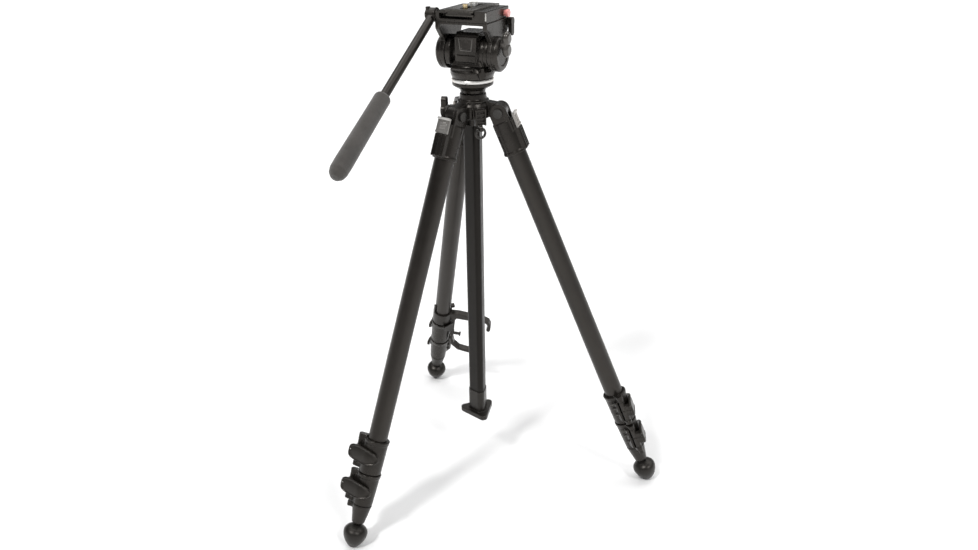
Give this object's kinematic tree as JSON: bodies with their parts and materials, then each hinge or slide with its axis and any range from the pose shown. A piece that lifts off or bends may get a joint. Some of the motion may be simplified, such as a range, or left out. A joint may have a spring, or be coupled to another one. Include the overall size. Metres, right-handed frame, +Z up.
{
  "type": "camera tripod with fluid head",
  "caption": "Folding camera tripod with telescoping legs, thumb-lever clamps, a sliding centre column and a fluid pan-tilt head with a pan handle.",
  "frame": {"origin": "on the floor, on the centre column's axis, between the three feet", "axes": "+Z up along the centre column, +Y towards the rear leg, +X to the side of the right leg"},
  "size_m": [0.534, 0.4789, 0.758],
  "materials": {
    "black_casting": "satin black powder coat",
    "black_plastic": "fine-grained moulded",
    "black_steel": "blackened",
    "black_tube": "satin black anodised",
    "foam": "closed-cell foam",
    "foot_rubber": "matte",
    "red_button": "gloss",
    "silver": "satin",
    "steel": "bright"
  },
  "bodies": {
    "tripod_top": {"shoulder_casting": "black_casting", "hinge_bolts": "black_steel", "column_bush": "black_plastic", "strap_bracket": "black_plastic"},
    "column_lock": {"column_lock_knob": "black_plastic"},
    "carry_ring": {"strap_ring": "black_steel"},
    "column": {"column_tube": "black_tube", "column_top_plate": "black_casting", "column_end_plate": "black_plastic", "head_base_ring": "silver"},
    "pan_head": {"pan_base": "black_casting", "drag_housing": "black_casting", "tilt_shaft": "steel"},
    "pan_lock": {"pan_lock_knob": "black_plastic"},
    "tilt_cradle": {"cradle": "black_casting", "side_caps": "black_casting", "plate_holder": "black_casting", "handle_rosette": "black_casting"},
    "tilt_lock": {"tilt_knob": "black_plastic"},
    "camera_plate": {"sliding_plate": "black_casting", "plate_screws": "steel"},
    "plate_release": {"release_button": "red_button"},
    "plate_lock": {"plate_lock_knob": "black_plastic"},
    "pan_handle": {"handle_tube": "black_tube", "handle_grip": "foam"},
    "handle_lock": {"handle_knob": "black_plastic"},
    "leg_rear": {"rear_top_casting": "black_casting", "rear_upper_tube": "black_tube", "rear_upper_clamp": "black_casting", "leg_clip": "black_plastic"},
    "rear_tab": {"rear_angle_tab": "silver"},
    "rear_lever_1": {"rear_upper_lever": "black_plastic"},
    "rear_middle": {"rear_middle_tube": "black_tube", "rear_lower_clamp": "black_casting"},
    "rear_lever_2": {"rear_lower_lever": "black_plastic"},
    "rear_lower": {"rear_lower_tube": "black_tube", "rear_end_cap": "black_plastic", "rear_foot": "foot_rubber"},
    "leg_front_left": {"front_left_top_casting": "black_casting", "front_left_upper_tube": "black_tube", "front_left_upper_clamp": "black_casting"},
    "front_left_tab": {"front_left_angle_tab": "silver"},
    "front_left_lever_1": {"front_left_upper_lever": "black_plastic"},
    "front_left_middle": {"front_left_middle_tube": "black_tube", "front_left_lower_clamp": "black_casting"},
    "front_left_lever_2": {"front_left_lower_lever": "black_plastic"},
    "front_left_lower": {"front_left_lower_tube": "black_tube", "front_left_end_cap": "black_plastic", "front_left_foot": "foot_rubber"},
    "leg_right": {"right_top_casting": "black_casting", "right_upper_tube": "black_tube", "right_upper_clamp": "black_casting"},
    "right_tab": {"right_angle_tab": "silver"},
    "right_lever_1": {"right_upper_lever": "black_plastic"},
    "right_middle": {"right_middle_tube": "black_tube", "right_lower_clamp": "black_casting"},
    "right_lever_2": {"right_lower_lever": "black_plastic"},
    "right_lower": {"right_lower_tube": "black_tube", "right_end_cap": "black_plastic", "right_foot": "foot_rubber"}
  },
  "joints": [
    {"name": "rear_leg_fold", "type": "hinge", "parent": "tripod_top", "child": "leg_rear", "pos_m": [0, 0.038, 0.61482], "axis": [1, 0, 0], "range_deg": [-22.8, 52]},
    {"name": "rear_angle_release", "type": "hinge", "parent": "leg_rear", "child": "rear_tab", "pos_m": [0, 0.06541, 0.59684], "axis": [-1, 0, 0], "range_deg": [0, 20], "stiffness_Nm_per_rad": 0.15, "springref_deg": -5.73},
    {"name": "rear_lever_1_open", "type": "hinge", "parent": "leg_rear", "child": "rear_lever_1", "pos_m": [0.0225, 0.24609, 0.14689], "axis": [0, 0.3875, -0.9219], "range_deg": [0, 100]},
    {"name": "rear_lever_2_open", "type": "hinge", "parent": "rear_middle", "child": "rear_lever_2", "pos_m": [0.0225, 0.26721, 0.09665], "axis": [0, 0.3875, -0.9219], "range_deg": [0, 100]},
    {"name": "rear_middle_extend", "type": "slide", "parent": "leg_rear", "child": "rear_middle", "axis": [0, 0.3875, -0.9219], "range_m": [0, 0.43]},
    {"name": "rear_lower_extend", "type": "slide", "parent": "rear_middle", "child": "rear_lower", "axis": [0, 0.3875, -0.9219], "range_m": [0, 0.42]},
    {"name": "front_left_leg_fold", "type": "hinge", "parent": "tripod_top", "child": "leg_front_left", "pos_m": [-0.03291, -0.019, 0.61482], "axis": [-0.5, 0.866, 0], "range_deg": [-22.8, 52]},
    {"name": "front_left_angle_release", "type": "hinge", "parent": "leg_front_left", "child": "front_left_tab", "pos_m": [-0.05665, -0.0327, 0.59684], "axis": [0.5, -0.866, 0], "range_deg": [0, 20], "stiffness_Nm_per_rad": 0.15, "springref_deg": -5.73},
    {"name": "front_left_lever_1_open", "type": "hinge", "parent": "leg_front_left", "child": "front_left_lever_1", "pos_m": [-0.22437, -0.10356, 0.14689], "axis": [-0.3356, -0.1938, -0.9219], "range_deg": [0, 100]},
    {"name": "front_left_lever_2_open", "type": "hinge", "parent": "front_left_middle", "child": "front_left_lever_2", "pos_m": [-0.24266, -0.11412, 0.09665], "axis": [-0.3356, -0.1938, -0.9219], "range_deg": [0, 100]},
    {"name": "front_left_middle_extend", "type": "slide", "parent": "leg_front_left", "child": "front_left_middle", "axis": [-0.3356, -0.1938, -0.9219], "range_m": [0, 0.43]},
    {"name": "front_left_lower_extend", "type": "slide", "parent": "front_left_middle", "child": "front_left_lower", "axis": [-0.3356, -0.1938, -0.9219], "range_m": [0, 0.42]},
    {"name": "right_leg_fold", "type": "hinge", "parent": "tripod_top", "child": "leg_right", "pos_m": [0.03291, -0.019, 0.61482], "axis": [-0.5, -0.866, 0], "range_deg": [-22.8, 52]},
    {"name": "right_angle_release", "type": "hinge", "parent": "leg_right", "child": "right_tab", "pos_m": [0.05665, -0.0327, 0.59684], "axis": [0.5, 0.866, 0], "range_deg": [0, 20], "stiffness_Nm_per_rad": 0.15, "springref_deg": -5.73},
    {"name": "right_lever_1_open", "type": "hinge", "parent": "leg_right", "child": "right_lever_1", "pos_m": [0.20187, -0.14253, 0.14689], "axis": [0.3356, -0.1938, -0.9219], "range_deg": [0, 100]},
    {"name": "right_lever_2_open", "type": "hinge", "parent": "right_middle", "child": "right_lever_2", "pos_m": [0.22016, -0.15309, 0.09665], "axis": [0.3356, -0.1938, -0.9219], "range_deg": [0, 100]},
    {"name": "right_middle_extend", "type": "slide", "parent": "leg_right", "child": "right_middle", "axis": [0.3356, -0.1938, -0.9219], "range_m": [0, 0.43]},
    {"name": "right_lower_extend", "type": "slide", "parent": "right_middle", "child": "right_lower", "axis": [0.3356, -0.1938, -0.9219], "range_m": [0, 0.42]},
    {"name": "column_raise", "type": "slide", "parent": "tripod_top", "child": "column", "axis": [0, 0, 1], "range_m": [0, 0.4]},
    {"name": "column_lock_turn", "type": "hinge", "parent": "tripod_top", "child": "column_lock", "pos_m": [-0.03291, 0.019, 0.61382], "axis": [-0.866, 0.5, 0], "range_deg": [-90, 90]},
    {"name": "carry_ring_swing", "type": "hinge", "parent": "tripod_top", "child": "carry_ring", "pos_m": [0, -0.032, 0.59682], "axis": [1, 0, 0], "range_deg": [-60, 60]},
    {"name": "pan_turn", "type": "hinge", "parent": "column", "child": "pan_head", "pos_m": [0, 0, 0.6613], "axis": [0, 0, 1], "continuous": true},
    {"name": "pan_lock_turn", "type": "hinge", "parent": "pan_head", "child": "pan_lock", "pos_m": [0.00214, -0.03393, 0.669], "axis": [0.0628, -0.998, 0], "range_deg": [-60, 60]},
    {"name": "tilt_turn", "type": "hinge", "parent": "pan_head", "child": "tilt_cradle", "pos_m": [0, 0, 0.694], "axis": [0.7145, -0.6997, 0], "range_deg": [-75, 40]},
    {"name": "tilt_lock_turn", "type": "hinge", "parent": "tilt_cradle", "child": "tilt_lock", "pos_m": [0.03505, -0.03853, 0.708], "axis": [0.7145, -0.6997, 0], "range_deg": [-90, 90]},
    {"name": "plate_slide", "type": "slide", "parent": "tilt_cradle", "child": "camera_plate", "axis": [0.6997, 0.7145, 0], "range_m": [-0.025, 0.025]},
    {"name": "release_press", "type": "slide", "parent": "tilt_cradle", "child": "plate_release", "axis": [-0.7145, 0.6997, 0], "range_m": [0, 0.0025], "stiffness_N_per_m": 800, "springref_m": -0.001},
    {"name": "plate_lock_turn", "type": "hinge", "parent": "tilt_cradle", "child": "plate_lock", "pos_m": [0.0538, -0.00509, 0.732], "axis": [0.7145, -0.6997, 0], "range_deg": [-40, 90]},
    {"name": "handle_swivel", "type": "hinge", "parent": "tilt_cradle", "child": "pan_handle", "pos_m": [-0.05006, 0.01263, 0.744], "axis": [-0.7145, 0.6997, 0], "range_deg": [-30, 120]},
    {"name": "handle_lock_turn", "type": "hinge", "parent": "tilt_cradle", "child": "handle_lock", "pos_m": [-0.05463, 0.01711, 0.744], "axis": [0.7145, -0.6997, 0], "range_deg": [-90, 90]}
  ]
}
